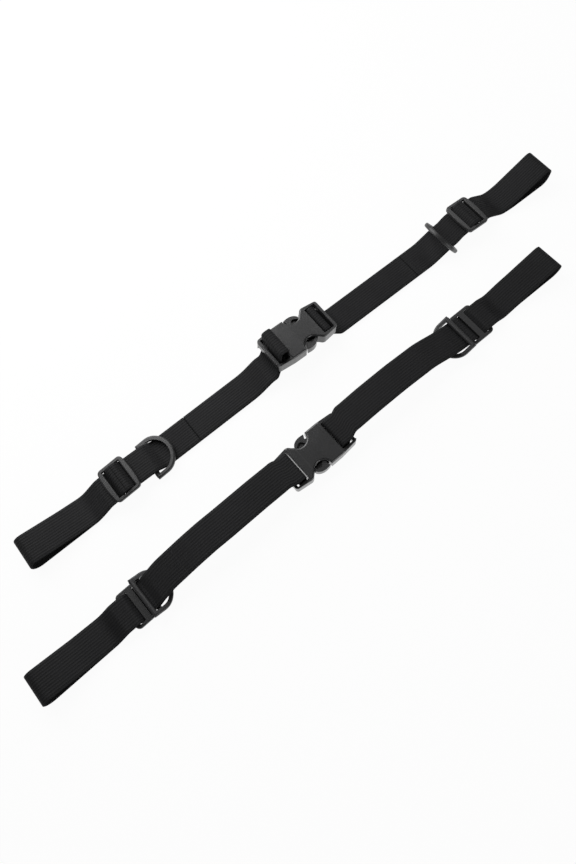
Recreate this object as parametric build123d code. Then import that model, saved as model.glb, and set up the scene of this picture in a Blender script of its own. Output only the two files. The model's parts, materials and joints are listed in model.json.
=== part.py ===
from build123d import *
import math
import os

os.makedirs("parts", exist_ok=True)

# A pair of black webbing straps. Each has a side release buckle in its middle, and on each half
# a D-ring, a three-bar slide and a plain end loop. Strap 1 lies face up, strap 2 face down.
# Lengths are in millimetres. Heights are above the table that both straps lie on.

# ---- webbing
webbing_width = 25.0
webbing_thickness = 1.25
layer_gap = 0.1              # between the two layers where the webbing is doubled
loop_bends = (5.0, 14.0)     # middle line of both layers, from the slide down to the table
loop_slack = (38.0, 5.6)     # where a loop's upper layer lifts off: before the tip, and height
loop_tip_bends = (40.0, 5.8, 6.4)
running_gap = 0.3            # between webbing and the hardware it passes
exit_bend = 10.0             # where the doubled webbing leaves a buckle
exit_straight = 5.0
drift_lead = 2.5             # the webbing starts to run aside this far inside an end bar
drift_length = 9.0

# ---- web frames, alike on socket and plug
web_clearance = 0.6          # between the webbing's edges and a slot's ends
web_slot_half_width = webbing_width / 2 + web_clearance
frame_side = 3.1             # solid side of a frame beyond its slot
frame_step = 0.75            # the webbing frames are this much thinner on each face
web_bar_diameter = 3.4
web_bar_drop = 0.5           # middle bar below the buckle's middle plane
web_bar_gap = 0.5            # between the middle bar and the webbing round it

# ---- side release buckle, measured outwards from the mouth
buckle_thickness = 11.5
mouth_half_width = web_slot_half_width + frame_side
mouth_lead = 4.0             # the outlines start this far before the mouth and are cut square
shell_wall = 2.05            # top and bottom plates of the socket
side_wall = 2.9              # sides of the socket at its mouth
edge_round = 1.5             # soft edge round the moulded outline
socket_length = 44.2
socket_end_bar = 2.4
socket_end_depth = 8.0       # how far the end bar reaches down from the face
socket_slot_length = 10.2
socket_slot_end = socket_length - socket_end_bar
socket_slot_start = socket_slot_end - socket_slot_length
socket_bar_x = socket_slot_end - 5.7
bulkhead = 6.8               # between the cavity and the webbing slot
cavity_length = socket_slot_start - bulkhead
end_taper = 1.5              # how much narrower each side is at the socket's end
end_half_width = mouth_half_width - end_taper
scallop_start = 10.8         # the side cut-outs that bare the finger pads
scallop_end = cavity_length + 0.3
scallop_middle = (scallop_start + scallop_end) / 2 + 0.4
waist_half_width = mouth_half_width - 7.6
neck_half_width = mouth_half_width - 3.8
shoulder_x = socket_slot_start - 0.8
plug_length = 16.5
plug_end_bar = 2.7
plug_end_depth = 5.0
plug_slot_length = 11.0
plug_slot_end = plug_length - plug_end_bar
plug_slot_start = plug_slot_end - plug_slot_length
plug_bar_x = plug_slot_end - 6.8

# ---- plug and latch arms
plug_clearance = 0.35
plug_nose = 3.6              # how far the plug's block enters the mouth
prong_length = cavity_length - 1.8
prong_half_width = 2.5
knuckle_radius = 1.9
knuckle_clearance = 0.05
knuckle_x = 3.2
knuckle_y = mouth_half_width - side_wall - 3.6
arm_width = 2.6
hook_gap = 1.4               # from the window's edge to the pad's shoulder
pad_start = scallop_start + hook_gap
pad_bulge = 0.2              # finger pads stand this far proud of the socket's sides
pad_width = 3.6              # from a pad's inner edge to its outer one
pad_tail = 2.2               # the same where the pad ends at the neck
arm_web = 2.6                # thickness of the web that joins pad and blade

# ---- three-bar slide
glide_length = 24.5
glide_thickness = 3.2
glide_end_bar = 4.5
glide_end_bow = 1.4          # the end bars bow out this much between the corners
glide_centre_bar = 5.0
glide_centre_thickness = 2.4
glide_side_bar = 2.5
glide_clearance = 0.3        # between the webbing's edges and the side bars
glide_width = webbing_width + 2 * (glide_clearance + glide_side_bar)
glide_corner = 3.4
glide_edge_round = 0.9
glide_turn_in = glide_length / 2 - glide_end_bar - 0.7  # where the webbing leaves an end bar
glide_turn_out = glide_centre_bar / 2 + 0.35            # where it lands on the centre bar

# ---- D-ring
ring_clearance = 1.1         # between the webbing's edges and the ring's sides
ring_inner_half_width = webbing_width / 2 + ring_clearance
ring_wall = 3.3
ring_bar_diameter = 4.0
ring_straight = 7.5
ring_inner_rise = 11.5
ring_corner_radius = 9.5     # inside, where a short side turns into the arch
ring_thickness = 3.6
ring_edge_round = 1.3

# ---- how the two straps lie
strap_2_shift = (-21.3, -81.9)
strap_2_turn = 1.7

doubled = 2 * webbing_thickness + layer_gap
layer_offset = (webbing_thickness + layer_gap) / 2
half_thickness = buckle_thickness / 2
frame_half = half_thickness - frame_step
exit_level = -(frame_half + running_gap + doubled / 2 + 1.5)

# Each half is described outwards from the buckle's mouth. "turn" and "aside" say how far its
# webbing runs out of line with the buckle, and each "bow" bends it sideways between two
# distances to a new offset from that line. "crest_flare" is how far the turn round the middle
# bar bulges outwards. Run points are (distance, height, bend radius), a
# ring is (distance, height, tilt, offset) and a slide (gap from the ring, height, tilt, offset).
# Loops are measured from the slide's far end.
straps = {
    "strap1": {
        "face": 1,
        "mouth_height": 13.5,
        "socket": {
            "slope": -4.5, "aside": -4.8, "turn": -0.4, "crest": 4.8, "crest_flare": 0.0,
            "bows": [(171.0, 181.5, 1.0), (207.5, 240.0, -1.5)],
            "run": [(148.0, doubled / 2, 30.0), (165.7, 7.9, 14.0)],
            "ring": (168.2, 4.7, 56.0, 0.2),
            "glide": (13.75, 12.0, -6.0, 1.0),
            "loop": 72.35,
            "loop_landing": 20.0,
            "loop_height": 20.5,
        },
        "plug": {
            "slope": 4.5, "aside": 4.2, "turn": 0.4, "crest": 15.5, "crest_flare": 2.3,
            "bows": [(178.0, 194.0, 1.0)],
            "run": [(39.0, doubled / 2, 30.0), (129.5, doubled / 2, 9.0), (138.0, 7.3, 8.0)],
            "ring": (139.5, 3.5, 5.6, 0.5),
            "glide": (12.55, 9.3, -5.0, 0.0),
            "loop": 76.95,
            "loop_landing": 20.0,
            "loop_height": 16.0,
        },
    },
    "strap2": {
        "face": -1,
        "mouth_height": half_thickness,
        "socket": {
            "slope": 0.0, "aside": -2.1, "turn": 0.8, "crest": 4.6, "crest_flare": 0.0,
            "bows": [(100.0, 120.0, -0.6), (154.0, 176.0, 1.4)],
            "run": [(68.5, 16.0, 60.0), (103.5, 17.6, 70.0), (133.5, 15.6, 60.0),
                    (168.0, 9.6, 12.0), (174.1, 6.75, 5.0)],
            "ring": (178.6, 10.3, 23.6, 1.7),
            "glide": (-6.15, 5.35, 0.0, 1.4),
            "loop": 77.85,
            "loop_landing": 15.5,
            "loop_height": 16.5,
        },
        "plug": {
            "slope": 0.0, "aside": 2.7, "turn": -1.1, "crest": 4.6, "crest_flare": 0.0,
            "bows": [(96.0, 129.0, -2.4), (168.0, 200.0, -1.3)],
            "run": [(41.5, 16.4, 50.0), (69.5, 17.2, 70.0), (99.5, 13.8, 70.0),
                    (126.0, 9.6, 20.0), (136.5, 6.7, 12.0)],
            "ring": (137.3, 10.3, 23.6, -2.6),
            "glide": (2.15, 5.35, 0.0, -2.4),
            "loop": 77.15,
            "loop_landing": 15.5,
            "loop_height": 16.0,
        },
    },
}


def tilted(point, origin, degrees):
    """A point of a tilted piece, as distance and height in the half's upright plane."""
    along, up = point
    slope = math.radians(degrees)
    return (
        origin[0] + along * math.cos(slope) - up * math.sin(slope),
        origin[1] + along * math.sin(slope) + up * math.cos(slope),
    )


def band(points, radii, thickness, width=webbing_width):
    """Webbing of the given thickness that follows a bent line in the upright plane."""
    corners = [(x, 0, z) for x, z in points]
    path = FilletPolyline(*corners, radius=radii)
    section = Plane(origin=path @ 0, x_dir=(0, 1, 0), z_dir=path % 0)
    return sweep(section * Rectangle(width, thickness), path=path)


def beside(points, radii, distance):
    """The bent line that runs alongside this one, to its left, with concentric bends."""
    moved = []
    bends = []
    for i, point in enumerate(points):
        ahead = points[min(i + 1, len(points) - 1)]
        behind = points[max(i - 1, 0)]
        angle_in = math.atan2(point[1] - behind[1], point[0] - behind[0])
        angle_out = math.atan2(ahead[1] - point[1], ahead[0] - point[0])
        if i == 0:
            angle_in = angle_out
        if i == len(points) - 1:
            angle_out = angle_in
        half_turn = (angle_out - angle_in) / 2
        normal = angle_in + half_turn + math.pi / 2
        reach = distance / math.cos(half_turn)
        moved.append((point[0] + reach * math.cos(normal), point[1] + reach * math.sin(normal)))
        if 0 < i < len(points) - 1:
            bends.append(radii[i - 1] - math.copysign(distance, half_turn))
    return moved, bends


def outline_half(points_and_curves):
    """A closed face from one edge curve and its mirror image about the long axis."""
    curve = Wire(points_and_curves)
    ends = [curve @ 0, curve @ 1]
    caps = [Line(end, (end.X, -end.Y)) for end in ends]
    other = curve.mirror(Plane.XZ)
    return make_face([*curve.edges(), *other.edges(), *caps])


def plate(face, thickness):
    """A plate of this outline, centred on the middle plane."""
    return extrude(face, thickness / 2, both=True)


def block(x0, x1, half_width, z0, z1):
    """A box between two distances and two heights, centred across the strap."""
    box = Box(x1 - x0, 2 * half_width, z1 - z0)
    return Pos((x0 + x1) / 2, 0, (z0 + z1) / 2) * box


def soft_edges(body, radius):
    """Rounds the outline edges that lie in the body's top and bottom faces."""
    flat = body.faces().filter_by(Axis.Z).sort_by(Axis.Z)
    return fillet([*flat[0].outer_wire().edges(), *flat[-1].outer_wire().edges()], radius)


def web_frame(slot_start, slot_end, frame_end, bar_x, end_depth):
    """What the slot, the end bar and the middle bar take away from and add to a frame."""
    slot = block(slot_start, slot_end, web_slot_half_width, -buckle_thickness, buckle_thickness)
    slot = fillet(slot.edges().filter_by(Axis.Z), 0.8)
    under = block(slot_end - 1, frame_end + 1, web_slot_half_width, -buckle_thickness,
                  frame_half - end_depth)
    bar = Pos(bar_x, 0, -web_bar_drop) * Rot(90, 0, 0) * Cylinder(
        web_bar_diameter / 2, 2 * web_slot_half_width + 2
    )
    return slot, under, bar


def thin_frame(start, end):
    """The slabs that step the web frame down from the body's full thickness."""
    slabs = []
    for side in (-1, 1):
        middle = side * (frame_half + frame_step)
        slabs.append(block(start, end, 2 * mouth_half_width, middle - frame_step,
                           middle + frame_step))
    return slabs


def make_socket():
    """The female half: waisted shell, side windows for the pads, cavity and web frame."""
    edge = [
        Line((-mouth_lead, mouth_half_width), (scallop_start, mouth_half_width)),
        ThreePointArc((scallop_start, mouth_half_width), (scallop_middle, waist_half_width),
                      (scallop_end, neck_half_width)),
        Spline((scallop_end, neck_half_width), (shoulder_x, mouth_half_width - 0.1),
               tangents=[(1.0, 0.5), (1.0, 0.0)]),
        Line((shoulder_x, mouth_half_width - 0.1), (socket_length - 2.4, end_half_width)),
        RadiusArc((socket_length - 2.4, end_half_width), (socket_length, end_half_width - 2.4), 2.4),
    ]
    body = soft_edges(plate(outline_half(edge), buckle_thickness), edge_round)
    body -= block(-2 * mouth_lead, 0, 2 * mouth_half_width, -buckle_thickness, buckle_thickness)
    cavity_half = half_thickness - shell_wall
    cavity_width = mouth_half_width - side_wall
    cavity = block(-1, cavity_length, cavity_width, -cavity_half, cavity_half)
    nose = block(cavity_length - 1, prong_length + 3, prong_half_width + 1, -cavity_half,
                 cavity_half)
    slot, under, bar = web_frame(socket_slot_start, socket_slot_end, socket_length,
                                 socket_bar_x, socket_end_depth)
    for slab in thin_frame(socket_slot_start - 0.6, socket_length + 1):
        body -= slab
    return body - cavity - nose - slot - under + bar


def make_plug():
    """The male half without its arms: web frame, block in the mouth, guide prong."""
    inner = mouth_half_width - side_wall - plug_clearance
    inner_half = half_thickness - shell_wall - plug_clearance
    edge = [
        Line((-mouth_lead, mouth_half_width), (0, mouth_half_width)),
        Line((0, mouth_half_width), (plug_length - 3.4, end_half_width + 0.3)),
        RadiusArc((plug_length - 3.4, end_half_width + 0.3),
                  (plug_length, end_half_width - 3.1), 3.4),
    ]
    body = soft_edges(plate(outline_half(edge), buckle_thickness), edge_round)
    body -= block(-2 * mouth_lead, 0, 2 * mouth_half_width, -buckle_thickness, buckle_thickness)
    slot, under, bar = web_frame(plug_slot_start, plug_slot_end, plug_length, plug_bar_x,
                                 plug_end_depth)
    for slab in thin_frame(plug_slot_start - 0.6, plug_length + 1):
        body -= slab
    body = Rot(0, 0, 180) * (body - slot - under + bar)
    nose = block(-1, plug_nose, inner, -inner_half, inner_half)
    prong = block(0, prong_length, prong_half_width, -inner_half + 1.0, inner_half - 1.0)
    tip = prong.edges().filter_by(Axis.Z).sort_by(Axis.X)[-2:]
    prong = fillet(tip, prong_half_width - 0.3)
    rib = block(0, prong_length - 6, 0.8, -inner_half, inner_half)
    body += nose + prong + rib
    for side in (-1, 1):
        seat = Cylinder(knuckle_radius + knuckle_clearance, buckle_thickness)
        body -= Pos(knuckle_x, side * knuckle_y, 0) * seat
        run_in = block(knuckle_x, plug_nose + 1, 2.4, -half_thickness, half_thickness)
        body -= Pos(0, side * knuckle_y, 0) * run_in
    return body


def make_arm(side):
    """A latch arm: round knuckle in the plug's seat, blade, and the finger pad."""
    inner_half = half_thickness - shell_wall - plug_clearance
    outer = mouth_half_width + pad_bulge
    low = knuckle_y - arm_width / 2
    high = knuckle_y + arm_width / 2
    pad = make_face([
        Line((knuckle_x, low), (pad_start - 1.0, low)),
        Spline((pad_start - 1.0, low), (scallop_middle, outer - pad_width),
               (cavity_length - 0.6, neck_half_width - pad_tail), tangents=[(1, 0), (1, -0.7)]),
        Line((cavity_length - 0.6, neck_half_width - pad_tail),
             (cavity_length - 0.5, neck_half_width)),
        Spline((cavity_length - 0.5, neck_half_width), (scallop_middle + 1.5, outer - 0.5),
               (scallop_middle - 2.5, outer), (pad_start, outer - 0.5)),
        Line((pad_start, outer - 0.5), (pad_start + 1.6, mouth_half_width - side_wall - 0.6)),
        Line((pad_start + 1.6, mouth_half_width - side_wall - 0.6), (pad_start - 1.4, high)),
        Line((pad_start - 1.4, high), (knuckle_x, high)),
        Line((knuckle_x, high), (knuckle_x, low)),
    ])
    web = make_face([
        Line((pad_start - 2.0, low), (cavity_length - 0.6, neck_half_width - pad_tail)),
        Line((cavity_length - 0.6, neck_half_width - pad_tail),
             (cavity_length - 0.6, neck_half_width - 0.2)),
        Line((cavity_length - 0.6, neck_half_width - 0.2), (scallop_middle, outer - 1.5)),
        Line((scallop_middle, outer - 1.5), (pad_start + 0.6, high)),
        Line((pad_start + 0.6, high), (pad_start - 2.0, low)),
    ])
    blade = extrude(pad, inner_half, both=True) + plate(web, arm_web)
    blade += Pos(knuckle_x, knuckle_y, 0) * Cylinder(knuckle_radius, 2 * inner_half)
    return blade if side > 0 else mirror(blade, Plane.XZ)


def glide_outline():
    """A slide seen from above: straight sides and bowed ends."""
    ends = glide_length / 2
    corner_x = ends - glide_end_bow
    side = glide_width / 2
    outline = make_face([
        ThreePointArc((corner_x, side), (ends, 0), (corner_x, -side)),
        Line((corner_x, -side), (-corner_x, -side)),
        ThreePointArc((-corner_x, -side), (-ends, 0), (-corner_x, side)),
        Line((-corner_x, side), (corner_x, side)),
    ])
    return fillet(outline.vertices(), glide_corner)


def make_glide():
    """The three-bar slide, back face at height 0."""
    window_length = glide_length - 2 * glide_end_bar
    window_width = glide_width - 2 * glide_side_bar
    plan = glide_outline()
    window = Rectangle(window_length, window_width)
    body = soft_edges(extrude(plan, glide_thickness), glide_edge_round)
    body -= extrude(window, 2 * glide_thickness, both=True)
    rims = body.edges().filter_by(Axis.Y).filter_by(
        lambda edge: abs(abs(edge.center().X) - window_length / 2) < 0.01
    )
    body = fillet(rims, 1.0)
    bar = block(-glide_centre_bar / 2, glide_centre_bar / 2, window_width / 2 + 1, 0,
                glide_centre_thickness)
    return body + fillet(bar.edges().filter_by(Axis.Y).group_by(Axis.Z)[-1], 1.1)


def ring_outline(wall, bar_side):
    """The D, this far outside its opening: a straight side, two short sides and three arcs."""
    half_width = ring_inner_half_width + wall
    corner_y = ring_inner_half_width - ring_corner_radius
    spread = ring_inner_rise**2 + corner_y**2 - ring_corner_radius**2
    crown_radius = spread / (2 * (ring_inner_rise - ring_corner_radius))
    crown_x = ring_straight + ring_inner_rise - crown_radius
    meeting = math.degrees(math.atan2(corner_y, ring_straight - crown_x))
    return make_face([
        CenterArc((ring_straight, corner_y), ring_corner_radius + wall, meeting, 90 - meeting),
        CenterArc((crown_x, 0), crown_radius + wall, -meeting, 2 * meeting),
        CenterArc((ring_straight, -corner_y), ring_corner_radius + wall, -90, 90 - meeting),
        Line((ring_straight, half_width), (bar_side, half_width)),
        Line((bar_side, half_width), (bar_side, -half_width)),
        Line((bar_side, -half_width), (ring_straight, -half_width)),
    ])


def make_ring():
    """The D-ring, its straight round bar on the Y axis and its arch towards +X."""
    outer = plate(ring_outline(ring_wall, -ring_bar_diameter / 2 + 0.4), ring_thickness)
    inner = plate(ring_outline(0, -ring_bar_diameter), 2 * ring_thickness)
    body = soft_edges(outer, ring_edge_round) - inner
    bar = Rot(90, 0, 0) * Cylinder(
        ring_bar_diameter / 2, 2 * ring_inner_half_width + ring_wall
    )
    return body + bar


def glide_seat(half):
    """Distance of a slide's middle from the mouth, its height, tilt and offset."""
    gap, height, tilt, offset = half["glide"]
    return half["ring"][0] + gap + glide_length / 2, height, tilt, offset


def loop_tip(half):
    """Distance of an end loop's tip from the mouth."""
    return glide_seat(half)[0] + glide_length / 2 + half["loop"]


def glide_path(half, face):
    """Middle line of the doubled webbing through a slide, inner end first."""
    x, height, tilt, _ = glide_seat(half)
    under = -(doubled / 2 + 0.05)
    over = glide_centre_thickness + doubled / 2 + running_gap
    reach = glide_length / 2 + 1.0
    steps = [(-glide_turn_in, under), (-glide_turn_out, over),
             (glide_turn_out, over), (glide_turn_in, under), (reach, under)]
    return [tilted((along, face * up), (x, height), tilt) for along, up in steps]


def webbing_plan(half, slot_end, end):
    """The webbing from above: aside just past the end bar, then on its own line with its bows."""
    bends = [(slot_end - drift_lead, slot_end - drift_lead + drift_length, 0.0), *half["bows"]]
    begin = slot_end - 3 * drift_length
    edges = []
    for side in (webbing_width / 2, -webbing_width / 2):
        x = begin
        y = side - half["aside"]
        for bend_start, bend_end, offset in bends:
            if bend_end > end:
                break
            edges.append(Line((x, y), (bend_start, y)))
            edges.append(Spline((bend_start, y), (bend_end, side + offset),
                                tangents=[(1, 0), (1, 0)]))
            x = bend_end
            y = side + offset
        edges.append(Line((x, y), (end, y)))
    starts = [edge @ 0 for edge in (edges[0], edges[len(edges) // 2])]
    ends = [edge @ 1 for edge in (edges[len(edges) // 2 - 1], edges[-1])]
    return extrude(make_face([*edges, Line(*starts), Line(*ends)]), 60)


def out_of_line(half, frame_end):
    """Where the webbing's own line lies beside the buckle's."""
    corner = frame_end + 2.0
    return Pos(corner, half["aside"], 0) * Rot(0, 0, half["turn"]) * Pos(-corner, 0, 0)


def make_bar_loop(half, bar_x, slot_end, frame_end, face, mouth_height):
    """Webbing round a buckle's middle bar, with the doubled tail under the end bar."""
    reach = web_bar_diameter / 2 + web_bar_gap + webbing_thickness / 2
    inner_x = bar_x - reach
    outer_x = bar_x + reach
    crest_x = outer_x + half["crest_flare"]
    tail = frame_end + 2.0
    crest = half["crest"]
    front = exit_level + layer_offset
    back = exit_level - layer_offset
    shape = [(tail, front), (outer_x + 1.1, front), (crest_x, crest),
             (inner_x, crest), (inner_x, back), (tail, back)]
    points = [tilted((x, face * up), (0, mouth_height), half["slope"]) for x, up in shape]
    loop = band(points, [1.6, reach * 0.84, reach * 0.84, 2.2], webbing_thickness,
                2 * webbing_width)
    plan = webbing_plan(half, slot_end, slot_end - drift_lead + drift_length + 4)
    return loop & out_of_line(half, frame_end) * plan


def make_run(half, slot_end, frame_end, face, mouth_height):
    """The doubled webbing from the buckle through the D-ring and the slide."""
    begin = frame_end + 2.0 + running_gap
    start, straight = (
        tilted((x, face * exit_level), (0, mouth_height), half["slope"])
        for x in (begin, begin + exit_straight)
    )
    weave = glide_path(half, face)
    points = [start, straight, *[(x, z) for x, z, _ in half["run"]], *weave]
    radii = [exit_bend, *[r for _, _, r in half["run"]], 2.4, 2.4, 2.4, 2.4]
    run = band(points, radii, doubled, 2 * webbing_width)
    run &= webbing_plan(half, slot_end, points[-1][0] + 5)
    return run, points[-2], points[-1]


def make_end_loop(half, slot_end, before, start):
    """The loop past the slide: it comes down to the table and opens towards its tip."""
    length = math.dist(before, start)
    straight = [(start[i] + (start[i] - before[i]) * 4.0 / length for i in (0, 1))]
    table = webbing_thickness / 2
    tip = loop_tip(half) - table
    landing = loop_tip(half) - half["loop"] + half["loop_landing"]
    centre = [start, tuple(straight[0]), (landing, table + layer_offset),
              (landing + 20, table + layer_offset)]
    upper, upper_bends = beside(centre, loop_bends, layer_offset)
    lower, lower_bends = beside(centre, loop_bends, -layer_offset)
    slack_length, slack_height = loop_slack
    points = [*upper[:3], (tip - slack_length, slack_height), (tip, half["loop_height"]),
              (tip, table), *reversed(lower[:3])]
    loop = band(points, [*upper_bends, *loop_tip_bends, *reversed(lower_bends)],
                webbing_thickness, 2 * webbing_width)
    return loop & webbing_plan(half, slot_end, tip + 5)


def make_half(name, half, side, face, mouth_height):
    """Every soft piece, slide and ring of one half, outwards along +X."""
    if side == "socket":
        bar_x, slot_end, frame_end = socket_bar_x, socket_slot_end, socket_length
    else:
        bar_x, slot_end, frame_end = plug_bar_x, plug_slot_end, plug_length
    run, before, after = make_run(half, slot_end, frame_end, face, mouth_height)
    x, z, tilt, y = half["ring"]
    ring = Pos(x, y, z) * Rot(0, 180 + face * tilt, 0) * make_ring()
    x, z, tilt, y = glide_seat(half)
    glide = Pos(x, y, z) * Rot(0, -tilt, 0) * Rot(0 if face > 0 else 180, 0, 0) * make_glide()
    line = out_of_line(half, frame_end)
    pieces = {
        "run": line * run,
        "end_loop": line * make_end_loop(half, slot_end, before, after),
        "ring": line * ring,
        "glide": line * glide,
        "bar_loop": make_bar_loop(half, bar_x, slot_end, frame_end, face, mouth_height),
    }
    around = Rot(0, 0, 0 if side == "socket" else 180)
    return {f"{name}_{side}_{key}": around * piece for key, piece in pieces.items()}


def make_strap(name, strap):
    """One strap with its buckle's mouth above the frame's origin, socket towards +X."""
    face = strap["face"]
    height = strap["mouth_height"]
    slope = strap["socket"]["slope"]
    seat = Pos(0, 0, height) * Rot(0, -slope, 0) * Rot(0 if face > 0 else 180, 0, 0)
    pieces = {
        f"{name}_socket": seat * make_socket(),
        f"{name}_plug": seat * make_plug(),
        f"{name}_latch_arm_left": seat * make_arm(1),
        f"{name}_latch_arm_right": seat * make_arm(-1),
    }
    for side in ("socket", "plug"):
        pieces.update(make_half(name, strap[side], side, face, height))
    return pieces


placed = {}
for name, strap in straps.items():
    if name == "strap1":
        place = Pos(0, 0, 0)
    else:
        place = Pos(*strap_2_shift, 0) * Rot(0, 0, 180 + strap_2_turn)
    for node, piece in make_strap(name, strap).items():
        placed[node] = place * piece

# The origin is on the table, under the middle of the pair.
box = Compound(children=[Compound(piece.solids()) for piece in placed.values()]).bounding_box()
middle = box.center()
origin = Pos(-middle.X, -middle.Y, -box.min.Z)
for node, piece in placed.items():
    export_step(origin * piece, f"parts/{node}.step")
print("size", [round(v, 2) for v in box.size], "middle", [round(v, 3) for v in middle])
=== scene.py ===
import json
import math

import bmesh
import bpy
from mathutils import Matrix, Vector


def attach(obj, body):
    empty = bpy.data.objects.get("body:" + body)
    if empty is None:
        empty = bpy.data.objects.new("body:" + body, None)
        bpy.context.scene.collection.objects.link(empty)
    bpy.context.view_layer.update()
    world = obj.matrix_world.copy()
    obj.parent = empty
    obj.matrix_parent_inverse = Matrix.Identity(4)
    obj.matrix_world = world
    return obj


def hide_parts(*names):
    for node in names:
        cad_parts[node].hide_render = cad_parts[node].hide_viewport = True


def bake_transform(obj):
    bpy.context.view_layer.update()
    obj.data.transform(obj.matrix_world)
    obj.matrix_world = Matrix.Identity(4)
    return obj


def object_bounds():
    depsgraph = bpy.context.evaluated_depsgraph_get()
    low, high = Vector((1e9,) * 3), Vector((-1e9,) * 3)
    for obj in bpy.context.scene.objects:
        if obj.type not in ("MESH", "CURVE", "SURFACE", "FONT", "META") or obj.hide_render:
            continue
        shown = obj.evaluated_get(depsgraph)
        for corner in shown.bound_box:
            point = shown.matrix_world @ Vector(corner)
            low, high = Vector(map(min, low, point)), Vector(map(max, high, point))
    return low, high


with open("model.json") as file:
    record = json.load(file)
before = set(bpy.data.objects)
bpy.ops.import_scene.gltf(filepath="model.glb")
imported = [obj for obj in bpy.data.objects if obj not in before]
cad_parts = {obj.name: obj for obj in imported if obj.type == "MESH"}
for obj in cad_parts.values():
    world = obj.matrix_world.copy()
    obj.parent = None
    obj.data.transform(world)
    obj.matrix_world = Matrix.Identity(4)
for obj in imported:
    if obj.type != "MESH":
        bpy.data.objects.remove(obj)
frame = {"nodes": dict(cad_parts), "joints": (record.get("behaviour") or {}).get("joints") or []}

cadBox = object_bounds()
joints = {joint["name"]: joint for joint in frame["joints"]}
mm = 0.001
print("frame loaded:", len(frame["nodes"]), "nodes")


class Wire:
    # a socket that can be used in sums, each sum adds a Math node
    def __init__(self, maker, socket):
        self.maker = maker
        self.socket = socket

    def calc(self, operation, *others):
        return self.maker.maths(operation, self, *others)

    def __add__(self, other):
        return self.calc("ADD", other)

    def __sub__(self, other):
        return self.calc("SUBTRACT", other)

    def __rsub__(self, other):
        return self.maker.maths("SUBTRACT", other, self)

    def __mul__(self, other):
        return self.calc("MULTIPLY", other)

    __radd__ = __add__
    __rmul__ = __mul__


class Maker:
    # the node tree of one material or of the world
    def __init__(self, owner):
        self.owner = owner
        owner.use_nodes = True
        self.tree = owner.node_tree
        self.tree.nodes.clear()

    def add(self, kind, settings=None, inputs=None, output=0):
        node = self.tree.nodes.new(kind)
        for key, value in (settings or {}).items():
            if key == "stops":
                for element, (place, shade) in zip(node.color_ramp.elements, value):
                    element.position = place
                    element.color = grey(shade)
            else:
                setattr(node, key, value)
        for key, value in (inputs or {}).items():
            if isinstance(value, Wire):
                self.tree.links.new(value.socket, node.inputs[key])
            else:
                node.inputs[key].default_value = value
        return None if output is None else Wire(self, node.outputs[output])

    def parts(self, kind, settings=None, inputs=None):
        # every output of a new node, by name
        first = self.add(kind, settings, inputs)
        return {out.name: Wire(self, out) for out in first.socket.node.outputs}

    def maths(self, operation, *values):
        return self.add("ShaderNodeMath", {"operation": operation}, dict(enumerate(values)))

    def mixColours(self, factor, dark, light):
        # Mix keeps colours as colours, its colour sockets are 6 and 7
        settings = {"data_type": "RGBA"}
        return self.add("ShaderNodeMix", settings, {0: factor, 6: dark, 7: light}, output=2)

    def ownPlace(self):
        return self.parts("ShaderNodeTexCoord")["Object"]

    def noise(self, place, grain):
        scale, detail = grain
        inputs = {"Vector": place, "Scale": scale, "Detail": detail}
        return self.add("ShaderNodeTexNoise", {}, inputs)

    def bump(self, look, height):
        inputs = {"Strength": look["bump"], "Distance": look["relief"] * mm, "Height": height}
        return self.add("ShaderNodeBump", {}, inputs)

    def finish(self, surface, kind="ShaderNodeOutputMaterial"):
        self.add(kind, {}, {"Surface": surface}, output=None)
        return self.owner

    def principled(self, inputs):
        return self.finish(self.add("ShaderNodeBsdfPrincipled", {}, inputs))


def newMaterial(name):
    return Maker(bpy.data.materials.new(name))


def grey(value, blue=1.0):
    return (value, value, value * blue, 1)


def between(share, limits):
    low, high = limits
    return share * (high - low) + low


def cords(count, fullness):
    # rounded cords side by side, from 0 in a groove to 1 on a crest
    return (count * math.pi).calc("SINE").calc("ABSOLUTE").calc("POWER", fullness)


webbingLook = {
    "ribs": 12,                      # cords across the webbing, with a groove between each two
    "pick": 1.35,                    # mm from one pick to the next, along it
    "dark": (0.006, 1.04),           # grey, and its blue part beside that
    "light": (0.0255, 1.05),
    "cordFullness": 0.8,
    "pickFullness": 0.7,
    "pickDepth": 0.45,
    "weaveMiddle": 0.6,              # height of the weave that adds no painted shade or highlight
    "baseShade": 0.2,
    "shares": {"weave": 0.6, "fibre": 0.25, "patch": 0.4},
    "fibre": (2600.0, 3.0),          # scale and detail
    "patch": (38.0, 4.0),
    # noise and range for where the painted shade in the grooves fades
    "grooveShadeFade": (90.0, 2.0),
    "paintedLightAmount": {"From Min": 0.38, "From Max": 0.60, "To Min": 0.25, "To Max": 1.0},
    "roughness": (0.55, 0.85),
    "roughShares": {"groove": 0.7, "fibre": 0.3},
    "specular": 0.15,
    "bump": 0.6,
    "relief": 0.25,                  # mm from a groove to a crest
}


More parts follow.
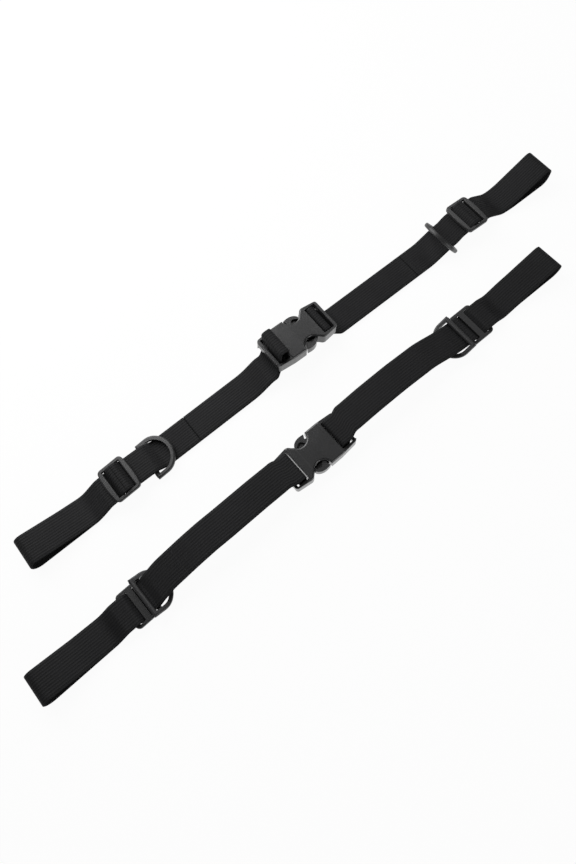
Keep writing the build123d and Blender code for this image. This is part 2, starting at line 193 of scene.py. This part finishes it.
def makeWebbingMaterial(look, width):
    maker = newMaterial("blackWebbing")
    webPlace = maker.parts("ShaderNodeAttribute", {"attribute_name": "webPlace"})["Vector"]
    axes = maker.parts("ShaderNodeSeparateXYZ", {}, {0: webPlace})
    column = axes["X"] * (look["ribs"] / width)
    row = axes["Y"] * (1 / look["pick"])
    # the picks lean one way on one side of each cord and the other way on the other
    lean = (column.calc("FRACT") - 0.5).calc("ABSOLUTE")
    picks = cords(row + lean, look["pickFullness"])
    weave = cords(column, look["cordFullness"]) * between(picks, (1 - look["pickDepth"], 1))
    place = maker.ownPlace()
    fibre = maker.noise(place, look["fibre"])
    patch = maker.noise(place, look["patch"])
    # here and there the painted shade in the grooves and the painted highlight on the crests fade
    grooveShadeFade = maker.noise(place, look["grooveShadeFade"])
    shown = maker.add("ShaderNodeMapRange", {"clamp": True}, {"Value": grooveShadeFade, **look["paintedLightAmount"]})
    shares, roughShares = look["shares"], look["roughShares"]
    # the cords' crests are painted lighter and the grooves darker, as painted shade in the
    # grooves; fibre and patch add random tone
    shade = ((weave - look["weaveMiddle"]) * shown * shares["weave"] + fibre * shares["fibre"]
             + patch * shares["patch"] + look["baseShade"])
    rough = (1 - weave) * roughShares["groove"] + fibre * roughShares["fibre"]
    return maker.principled({
        "Base Color": maker.mixColours(shade, grey(*look["dark"]), grey(*look["light"])),
        "Roughness": between(rough, look["roughness"]),
        "Normal": maker.bump(look, weave + fibre * shares["fibre"]),
        "Specular IOR Level": look["specular"],
    })


threadLook = {
    "dark": (0.008, 1.0),
    "light": (0.022, 1.0),
    "twist": (2200.0, 2.0),          # scale and detail
    "roughness": (0.7, 0.9),
    "bump": 0.4,
    "relief": 0.1,
}


def makeThreadMaterial(look):
    maker = newMaterial("blackThread")
    strand = maker.noise(maker.ownPlace(), look["twist"])
    return maker.principled({
        "Base Color": maker.mixColours(strand, grey(*look["dark"]), grey(*look["light"])),
        "Roughness": between(strand, look["roughness"]),
        "Normal": maker.bump(look, strand),
    })


buckleLook = {
    "name": "buckleAcetal",
    "dark": (0.018, 1.03),
    "light": (0.027, 1.03),
    # lighter colour for the painted highlight on edges
    "edgeHighlight": (0.043, 1.03),
    "edges": [(0.50, 0.0), (0.60, 1.0)],   # how much an edge stands out, and how much painted highlight it gets
    "grain": (2400.0, 2.0),          # scale and detail
    "flow": (55.0, 5.0),
    "flowShare": 0.6,
    "roughness": (0.30, 0.42),
    "bump": 0.06,
    "relief": 0.1,
    "gloss": 0.6,
    "glossRoughness": 0.16,
}
fittingLook = {
    **buckleLook,
    "name": "fittingAcetal",
    "light": (0.028, 1.03),
    "edgeHighlight": (0.042, 1.03),
    "grain": (2600.0, 2.0),
    "roughness": (0.42, 0.52),
    "bump": 0.05,
    "gloss": 0.15,
}


def makePlasticMaterial(look):
    maker = newMaterial(look["name"])
    place = maker.ownPlace()
    grain = maker.noise(place, look["grain"])
    flow = maker.noise(place, look["flow"])
    shade = flow * look["flowShare"] + grain * (1 - look["flowShare"])
    colour = maker.mixColours(shade, grey(*look["dark"]), grey(*look["light"]))
    # a painted highlight: lighter colour where an edge stands out
    pointy = maker.parts("ShaderNodeNewGeometry")["Pointiness"]
    paintedLightAmount = maker.add("ShaderNodeValToRGB", {"stops": look["edges"]}, {0: pointy})
    return maker.principled({
        "Base Color": maker.mixColours(paintedLightAmount * flow, colour, grey(*look["edgeHighlight"])),
        "Roughness": between((grain + flow) * 0.5, look["roughness"]),
        "Normal": maker.bump(look, grain),
        "Coat Weight": look["gloss"],
        "Coat Roughness": look["glossRoughness"],
    })


# the webbing's sizes in mm, all straps alike
band = {
    "width": 25.0,
    "thickness": 1.25,
    "layerGap": 0.1,
    "seamGap": 0.5,
    "acrossSteps": 12,
    "step": 1.1,                     # between rows along the webbing
    "bendStep": 0.45,                # between rows in a bend
    "landBends": (5.0, 14.0),        # behind the slide, and where it reaches the table
    "landLength": 20.0,              # of the flat part after that, only its direction counts
    "loopGives": 72.0,               # a length along the loop past the slide; nothing here makes the loop close up when the slide is moved
    "loopSlack": (38.0, 5.6),        # where the upper layer sags: distance to the tip, height
    "loopBends": (40.0, 5.8, 6.4),   # in the sag, and at the tip's top and bottom
}
webbing = makeWebbingMaterial(webbingLook, band["width"])
thread = makeThreadMaterial(threadLook)
bucklePlastic = makePlasticMaterial(buckleLook)
fittingPlastic = makePlasticMaterial(fittingLook)
print("materials made")

for name, node in frame["nodes"].items():
    isFitting = name.endswith(("_ring", "_glide"))
    node.data.materials.clear()
    node.data.materials.append(fittingPlastic if isFitting else bucklePlastic)


def addObject(name, data):
    holder = bpy.data.objects.new(name, data)
    bpy.context.scene.collection.objects.link(holder)
    return holder


def addMesh(name, vertices, faces, material):
    mesh = bpy.data.meshes.new(name)
    mesh.from_pydata(vertices, [], faces)
    mesh.materials.append(material)
    return addObject(name, mesh)


def smoothSides(mesh):
    # the ends of a band or of a stitch stay flat
    mesh.polygons.foreach_set("use_smooth", [face.loop_total == 4 for face in mesh.polygons])


def fixNormals(mesh):
    work = bmesh.new()
    work.from_mesh(mesh)
    bmesh.ops.recalc_face_normals(work, faces=work.faces)
    work.to_mesh(mesh)
    work.free()


def joinRings(first, rings, count):
    # faces between rings of vertices that follow each other, and over the two ends
    last = first + (rings - 1) * count
    faces = []
    for start in range(first, last, count):
        for k in range(count):
            a, b = start + k, start + (k + 1) % count
            faces.append((a, b, b + count, a + count))
    faces.append(tuple(range(first + count - 1, first - 1, -1)))
    faces.append(tuple(range(last, last + count)))
    return faces


buckle = {
    "knuckle": 3.2,          # from the mouth to the arms' hinge line
    "turnRadius": 2.825,     # middle of the webbing from the middle bar's axis
    "exit": -8.1,            # the doubled webbing's middle below the buckle's middle plane
    "exitGap": 2.3,          # from the frame's end to where the webbing lies in line with it
    "exitLength": 5.0,       # how far it stays so
    "exitBend": 10.0,
    "barBends": (9.0, 2.2, 2.373, 2.373, 1.6, 9.0),   # from the back layer to the front layer
    "frontLean": 1.1,        # the front layer leaves the bar's outer side by this much
    "driftLead": 2.5,        # the webbing starts aside this far before the slot's end
    "driftLength": 9.0,
    "lineGap": 2.0,          # from the frame's end to the start of the webbing's line
    "socket": {"bar": 36.1, "slotEnd": 41.8, "end": 44.2},
    "plug": {"bar": 7.0, "slotEnd": 13.8, "end": 16.5},
}
glideShape = {
    "half": 12.25,
    "under": 1.35,           # the webbing's middle below the slide's, where it enters
    "over": 4.0,             # and above it, on the bar
    "turnIn": 7.05,
    "turnOut": 2.85,
    "reach": 17.25,          # how far the webbing keeps the slide's tilt
    "bend": 2.4,
}

# each half outwards from the buckle's mouth, in mm and degrees: the same route as the CAD solids
halves = {
    "strap1_socket": {
        "face": 1,                    # 1 with the buckle's front up, -1 with it down
        "mouth": 13.5,                # height of the buckle's middle at its mouth
        "slope": -4.5,                # and its tilt
        "aside": -4.8,                # where the webbing's line starts beside the buckle
        "turn": -0.4,                 # and the angle at which it leaves
        "bows": [(171.0, 181.5, 1.0), (207.5, 240.0, -1.5)],   # start, end, new offset from it
        "crest": 4.8,                 # how high the webbing goes round the bar
        "flare": 0.0,                 # and how far it leans outwards there
        "run": [(148.0, 1.3, 30.0), (165.7, 7.9, 14.0)],       # distance, height, bend
        "glide": (194.2, 12.0, -6.0),   # the slide's distance, height and tilt
        "landing": 226.45,            # where the webbing reaches the table behind it
        "tip": 278.8,
        "top": 20.5,                  # height of the loop at its tip
        "seam": 130.0,                # where the front layer's ends meet
        "gives": (171.0, 181.9),      # two distances past the ring; nothing here makes the webbing give when the slide moves
    },
    "strap1_plug": {
        "face": 1, "mouth": 13.5, "slope": 4.5, "aside": 4.2, "turn": 0.4,
        "crest": 15.5, "flare": 2.3,
        "bows": [(178.0, 194.0, 1.0)],
        "run": [(39.0, 1.3, 30.0), (129.5, 1.3, 9.0), (138.0, 7.3, 8.0)],
        "glide": (164.3, 9.3, -5.0), "landing": 196.55, "tip": 253.5, "top": 16.0,
        "seam": 97.4, "gives": (142.2, 152.0),
    },
    "strap2_socket": {
        "face": -1, "mouth": 5.75, "slope": 0.0, "aside": -2.1, "turn": 0.8,
        "crest": 4.6, "flare": 0.0,
        "bows": [(100.0, 120.0, -0.6), (154.0, 176.0, 1.4)],
        "run": [(68.5, 16.0, 60.0), (103.5, 17.6, 70.0), (133.5, 15.6, 60.0),
                (168.0, 9.6, 12.0), (174.1, 6.75, 5.0)],
        "glide": (184.7, 5.35, 0.0), "landing": 212.45, "tip": 274.8, "top": 16.5,
        "seam": 140.5, "gives": (174.2, 177.6),
    },
    "strap2_plug": {
        "face": -1, "mouth": 5.75, "slope": 0.0, "aside": 2.7, "turn": -1.1,
        "crest": 4.6, "flare": 0.0,
        "bows": [(96.0, 129.0, -2.4), (168.0, 200.0, -1.3)],
        "run": [(41.5, 16.4, 50.0), (69.5, 17.2, 70.0), (99.5, 13.8, 70.0),
                (126.0, 9.6, 20.0), (136.5, 6.7, 12.0)],
        "glide": (151.7, 5.35, 0.0), "landing": 179.45, "tip": 241.1, "top": 16.0,
        "seam": 96.5, "gives": (138.6, 144.6),
    },
}


def buckleFrame(name):
    return buckle[name.split("_")[1]]


def tilted(points, origin, degrees):
    a = math.radians(degrees)
    return [(origin[0] + x * math.cos(a) - z * math.sin(a),
             origin[1] + x * math.sin(a) + z * math.cos(a)) for x, z in points]


def beside(corners, bends, distance):
    # the line alongside, to the left, with concentric bends
    moved, radii = [], []
    last = len(corners) - 1
    for i, (x, z) in enumerate(corners):
        behind, ahead = corners[max(i - 1, 0)], corners[min(i + 1, last)]
        into = math.atan2(z - behind[1], x - behind[0])
        out = math.atan2(ahead[1] - z, ahead[0] - x)
        if i == 0:
            into = out
        if i == last:
            out = into
        half = (out - into) / 2
        normal = into + half + math.pi / 2
        reach = distance / math.cos(half)
        moved.append((x + reach * math.cos(normal), z + reach * math.sin(normal)))
        if 0 < i < last:
            radii.append(bends[i - 1] - math.copysign(distance, half))
    return moved, radii


def bentLine(corners, bends):
    # a polyline with rounded corners, as closely spaced points
    corners = [Vector(c) for c in corners]
    points = [corners[0]]
    for before, corner, after, radius in zip(corners, corners[1:], corners[2:], bends):
        into = (corner - before).normalized()
        out = (after - corner).normalized()
        turn = math.atan2(into.x * out.y - into.y * out.x, into.dot(out))
        if abs(turn) < 1e-4:       # straight on
            points.append(corner)
            continue
        begin = corner - into * radius * math.tan(abs(turn) / 2)
        side = math.copysign(1, turn)
        centre = begin + Vector((-into.y, into.x)) * side * radius
        count = max(2, math.ceil(abs(turn) * radius / band["bendStep"]))
        for k in range(count + 1):
            spoke = begin - centre
            spoke.rotate(Matrix.Rotation(turn * k / count, 2))
            points.append(centre + spoke)
    points.append(corners[-1])
    dense = [points[0]]
    for a, b in zip(points, points[1:]):
        length = (b - a).length
        if length > 1e-6:
            count = max(1, math.ceil(length / band["step"]))
            dense += [a.lerp(b, k / count) for k in range(1, count + 1)]
    return dense


def smooth(t):
    t = min(max(t, 0.0), 1.0)
    return t * t * (3 - 2 * t)


def halfPlace(name):
    # the mouth's place and the direction outwards, from the latch arms' hinges
    strap, side = name.split("_")
    left = Vector(joints[f"{strap}_latch_left"]["pos_m"])
    right = Vector(joints[f"{strap}_latch_right"]["pos_m"])
    outwards = -Vector(joints[f"{strap}_buckle"]["axis"])
    mouth = (left + right) / 2 - outwards * buckle["knuckle"] * mm
    outwards.z = 0
    outwards.normalize()
    if side == "plug":
        outwards = -outwards
    across = Vector((0, 0, 1)).cross(outwards)
    place = Matrix.Identity(4)
    for row in range(3):
        place[row][0], place[row][1] = outwards[row], across[row]
        place[row][3] = mouth[row] if row < 2 else 0.0
    return place


def doubledLine(name):
    # corners and bends of the doubled webbing's middle, from the buckle to the table
    half, shape = halves[name], glideShape
    out = half["face"] * buckle["exit"]
    begin = buckleFrame(name)["end"] + buckle["exitGap"]
    start = [(begin, out), (begin + buckle["exitLength"], out)]
    over, under = half["face"] * shape["over"], -half["face"] * shape["under"]
    weave = [(-shape["turnIn"], under), (-shape["turnOut"], over), (shape["turnOut"], over),
             (shape["turnIn"], under), (shape["reach"], under)]
    *glidePlace, tilt = half["glide"]
    corners = (tilted(start, (0.0, half["mouth"]), half["slope"])
               + [(u, v) for u, v, _ in half["run"]] + tilted(weave, glidePlace, tilt))
    hump = len(corners) - 4        # the corner where the webbing comes up to the slide's bar
    lying = band["thickness"] + band["layerGap"] / 2
    corners += [(half["landing"], lying), (half["landing"] + band["landLength"], lying)]
    bends = [buckle["exitBend"], *[r for _, _, r in half["run"]], *4 * [shape["bend"]],
             *band["landBends"]]
    return corners, bends, hump


def barLine(name, offset):
    # corners of the webbing round the buckle's bar, from the back layer to the front one
    half = halves[name]
    bar = buckleFrame(name)["bar"]
    inner, outer = bar - buckle["turnRadius"], bar + buckle["turnRadius"]
    steps = [(inner, buckle["exit"] - offset), (inner, half["crest"]),
             (outer + half["flare"], half["crest"]),
             (outer + buckle["frontLean"], buckle["exit"] + offset)]
    steps = [(u, half["face"] * v) for u, v in steps]
    return tilted(steps, (0.0, half["mouth"]), half["slope"])


def cutAtSeam(line, seam):
    # the two parts of a line, before and behind the gap between the front layer's ends
    first, second = seam - band["seamGap"] / 2, seam + band["seamGap"] / 2
    cut = max(i for i, p in enumerate(line) if p.x < first)
    rest = [p for p in line[cut:] if p.x > second]
    a, b = line[cut], rest[0]
    ends = [a.lerp(b, (x - a.x) / (b.x - a.x)) for x in (first, second)]
    return [*line[:cut + 1], ends[0]], [ends[1], *rest]


def halfLines(name):
    # middle lines of one half's webbing: back run and bar loop, front layer, end loop
    half = halves[name]
    offset = (band["thickness"] + band["layerGap"]) / 2
    table = band["thickness"] / 2
    corners, bends, hump = doubledLine(name)
    upper, upperBends = beside(corners, bends, offset)
    lower, lowerBends = beside(corners, bends, -offset)
    layers = [(upper, upperBends), (lower, lowerBends)]
    (front, frontBends), (back, backBends) = layers[::half["face"]]

    def crown(line):
        # all three pieces of webbing meet on the slide's bar
        a, b = line[hump], line[hump + 1]
        return ((a[0] + b[0]) / 2, (a[1] + b[1]) / 2)

    inner = bentLine(
        [crown(back), *back[hump::-1], *barLine(name, offset), *front[:hump + 1], crown(front)],
        [*backBends[:hump][::-1], *buckle["barBends"], *frontBends[:hump]])
    tip = half["tip"] - table
    slack, slackHeight = band["loopSlack"]
    outer = bentLine(
        [crown(upper), *upper[hump + 1:-1], (tip - slack, slackHeight), (tip, half["top"]),
         (tip, table), *lower[-2:hump:-1], crown(lower)],
        [*upperBends[hump:], *band["loopBends"], *lowerBends[hump:][::-1]])
    return *cutAtSeam(inner, half["seam"]), outer


def sideways(name, x):
    # how far the webbing lies beside the buckle's middle line
    half, sizes = halves[name], buckleFrame(name)
    leaving = sizes["slotEnd"] - buckle["driftLead"]
    offset = -half["aside"]
    for start, end, target in [(leaving, leaving + buckle["driftLength"], 0.0), *half["bows"]]:
        offset += (target - offset) * smooth((x - start) / (end - start))
    distance = x - sizes["end"] - buckle["lineGap"]
    return half["aside"] + distance * math.tan(math.radians(half["turn"])) + offset


def linePoint(half, x, z):
    return halfPlace(half) @ Vector((x * mm, sideways(half, x) * mm, z * mm))


def bandSection():
    # outline of the webbing's section, anticlockwise, with rounded selvedges
    halfWidth, halfThick = band["width"] / 2, band["thickness"] / 2
    flat = halfWidth - halfThick
    count = band["acrossSteps"]
    top = [(-flat + 2 * flat * k / count, halfThick) for k in range(count + 1)]
    right = [(flat + halfThick * math.sin(a), halfThick * math.cos(a))
             for a in (math.pi / 4, math.pi / 2, 3 * math.pi / 4)]
    return top + right + [(-u, -v) for u, v in top + right]


def makeBand(name, half, line, startAt=0.0):
    section = bandSection()
    place = halfPlace(half)
    vertices, webPlaces = [], []
    along = startAt
    for before, point, after in zip([line[0], *line], line, [*line[1:], line[-1]]):
        heading = (after - before).normalized()
        along += (point - before).length
        y = sideways(half, point.x)
        for u, v in section:
            x = point.x - heading.y * v
            z = point.y + heading.x * v
            vertices.append(place @ Vector((x * mm, (y + u) * mm, z * mm)))
            webPlaces += [u, along, v]
    piece = addMesh(name, vertices, joinRings(0, len(line), len(section)), webbing)
    smoothSides(piece.data)
    attribute = piece.data.attributes.new("webPlace", "FLOAT_VECTOR", "POINT")
    attribute.data.foreach_set("vector", webPlaces)
    return piece, along - startAt


seamStitches = {
    "lines": (-5.2, -2.4, 2.4, 5.2),     # mm from the seam, along the webbing
    "pitch": 2.7,
    "length": 2.0,
    "thread": 0.42,
    "margin": 1.7,                       # from the webbing's edge to the first stitch
    "proud": 0.12,                       # how far the thread stands above the webbing
    "sunk": 0.30,                        # how far a stitch's ends dip
    "rings": 5,
    "sides": 6,
}


def crossing(line, x):
    # where a line first passes x, and its direction there
    for a, b in zip(line, line[1:]):
        if (a.x - x) * (b.x - x) <= 0 and a.x != b.x:
            return a.lerp(b, (x - a.x) / (b.x - a.x)), (b - a).normalized()
    raise ValueError(f"the webbing doesn't pass {x}")


def stitchRings(place, centre, heading, outward, y):
    # vertices of one stitch, a short bent thread across the webbing
    look = seamStitches
    radius, vertices = look["thread"] / 2, []
    for k in range(look["rings"]):
        share = k / (look["rings"] - 1)
        rise = look["proud"] - radius - look["sunk"] * (1 - math.sin(math.pi * share))
        middle = centre + outward * (band["thickness"] / 2 + rise)
        across = y + look["length"] * (share - 0.5)
        for j in range(look["sides"]):
            turn = 2 * math.pi * j / look["sides"]
            point = middle + (outward * math.cos(turn) + heading * math.sin(turn)) * radius
            vertices.append(place @ Vector((point.x * mm, across * mm, point.y * mm)))
    return vertices


def makeStitches(half, inner, front):
    # two lines of stitches on each side of the seam, on both faces of the webbing
    look = seamStitches
    face = halves[half]["face"]
    place = halfPlace(half)
    room = band["width"] / 2 - look["margin"]
    count = int(2 * room / look["pitch"]) + 1
    vertices, faces = [], []
    for distance in look["lines"]:
        x = halves[half]["seam"] + distance
        near = inner[::-1] if distance < 0 else front
        for line, side in ((near, face), (inner, -face)):
            centre, heading = crossing(line, x)
            outward = Vector((-heading.y, heading.x))
            if outward.y * side < 0:
                outward.negate()
            for k in range(count):
                y = sideways(half, x) + (k - (count - 1) / 2) * look["pitch"]
                faces += joinRings(len(vertices), look["rings"], look["sides"])
                vertices += stitchRings(place, centre, heading, outward, y)
    piece = addMesh(f"{half}_stitches", vertices, faces, thread)
    smoothSides(piece.data)
    fixNormals(piece.data)
    return piece


for half in halves:
    sideBody, glideBody = f"{half}_side", f"{half}_glide"
    inner, front, outer = halfLines(half)
    glideX, glideZ, _ = halves[half]["glide"]
    run, runLength = makeBand(f"{half}_webbing", half, inner)
    layer, layerLength = makeBand(f"{half}_front_layer", half, front, runLength)
    loop, loopLength = makeBand(f"{half}_loop", half, outer, runLength + layerLength)
    for piece, node in ((run, "bar_loop"), (layer, "run"), (loop, "end_loop")):
        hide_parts(f"{half}_{node}")
    stitches = makeStitches(half, inner, front)
    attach(stitches, sideBody)
    still, moving = halves[half]["gives"]
    far = glideX + glideShape["half"]
    for piece in (run, layer):
        linePoint(half, still, glideZ)
        linePoint(half, moving, glideZ)
        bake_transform(piece)
    linePoint(half, far + band["loopGives"], glideZ)
    linePoint(half, far, glideZ)
    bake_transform(loop)
    for piece, length in ((run, runLength), (layer, layerLength), (loop, loopLength)):
        length * mm
    print("webbing", half, round(runLength + layerLength + loopLength), "mm")


studio = {
    "floorShade": 0.45,
    "floorReach": 6.0,
    "floorGap": 0.0002,
    "white": 1.06,           # strength of the white that the camera and reflections see
    "whiteShare": 0.9,       # the rest is the shaded floor, with the object's shadow
    "worldStrength": 0.11,
    # camera: from the first strap's mouth, and height from the floor
    "cameraFrom": (-0.1152, -0.1867, 0.4661),
    "forward": (0.1529, 0.2691, -0.9509),
    "roll": -9.59,
    "lens": 39.0,
    "lamps": [
        # name, place, size, power
        ("nearLamp", (0.15, -1.0, 0.22), 0.6, 3.0),
        ("topLamp", (-0.08, 0.5, 0.42), 0.6, 4.7),
        ("sideLamp", (0.52, 0.3, 0.48), 0.25, 0.6),
    ],
}


def makeFloor():
    maker = newMaterial("whiteFloor")
    rays = maker.parts("ShaderNodeLightPath")
    mirrored = rays["Is Glossy Ray"].calc("MAXIMUM", rays["Is Transmission Ray"])
    seen = rays["Is Camera Ray"].calc("MAXIMUM", mirrored)
    diffuse = maker.add("ShaderNodeBsdfDiffuse", {}, {"Color": grey(studio["floorShade"])})
    white = maker.add("ShaderNodeEmission", {}, {"Color": grey(1.0), "Strength": studio["white"]})
    surface = maker.add("ShaderNodeMixShader", {},
                        {0: seen * studio["whiteShare"], 1: diffuse, 2: white})
    r = studio["floorReach"]
    corners = [(-r, -r, 0), (r, -r, 0), (r, r, 0), (-r, r, 0)]
    floor = addMesh("floor", corners, [(0, 1, 2, 3)], maker.finish(surface))
    floor.location.z = cadBox[0].z - studio["floorGap"]


def makeWorld():
    maker = Maker(bpy.data.worlds.new("softWorld"))
    seen = maker.parts("ShaderNodeLightPath")["Is Camera Ray"]
    sky = maker.add("ShaderNodeBackground", {}, {
        "Color": grey(1.0), "Strength": between(seen, (studio["worldStrength"], 1)),
    })
    bpy.context.scene.world = maker.finish(sky, "ShaderNodeOutputWorld")


def makeLamps():
    for name, place, size, power in studio["lamps"]:
        lamp = bpy.data.lights.new(name, "AREA")
        lamp.size = size
        lamp.energy = power
        holder = addObject(name, lamp)
        holder.location = place
        holder.rotation_mode = "QUATERNION"
        holder.rotation_quaternion = (-Vector(place)).to_track_quat("-Z", "Y")


def makeCamera():
    camera = bpy.data.cameras.new("camera")
    camera.sensor_fit = "HORIZONTAL"
    camera.sensor_width = 36.0
    camera.lens = studio["lens"]
    camera.clip_start, camera.clip_end = 0.02, 20.0
    holder = addObject("camera", camera)
    mouth = halfPlace("strap1_socket").translation
    forward = Vector(studio["forward"]).normalized()
    right = forward.cross(Vector((0, 0, 1))).normalized()
    up = right.cross(forward)
    roll = math.radians(studio["roll"])
    ownRight = right * math.cos(roll) + up * math.sin(roll)
    ownUp = up * math.cos(roll) - right * math.sin(roll)
    turn = Matrix((ownRight, ownUp, -forward)).transposed()
    x, y, z = studio["cameraFrom"]
    holder.matrix_world = Matrix.Translation((mouth.x + x, mouth.y + y, z)) @ turn.to_4x4()
    bpy.context.scene.camera = holder


makeFloor()
makeWorld()
makeLamps()
makeCamera()
bpy.context.scene.view_settings.view_transform = "Standard"
print("studio ready")
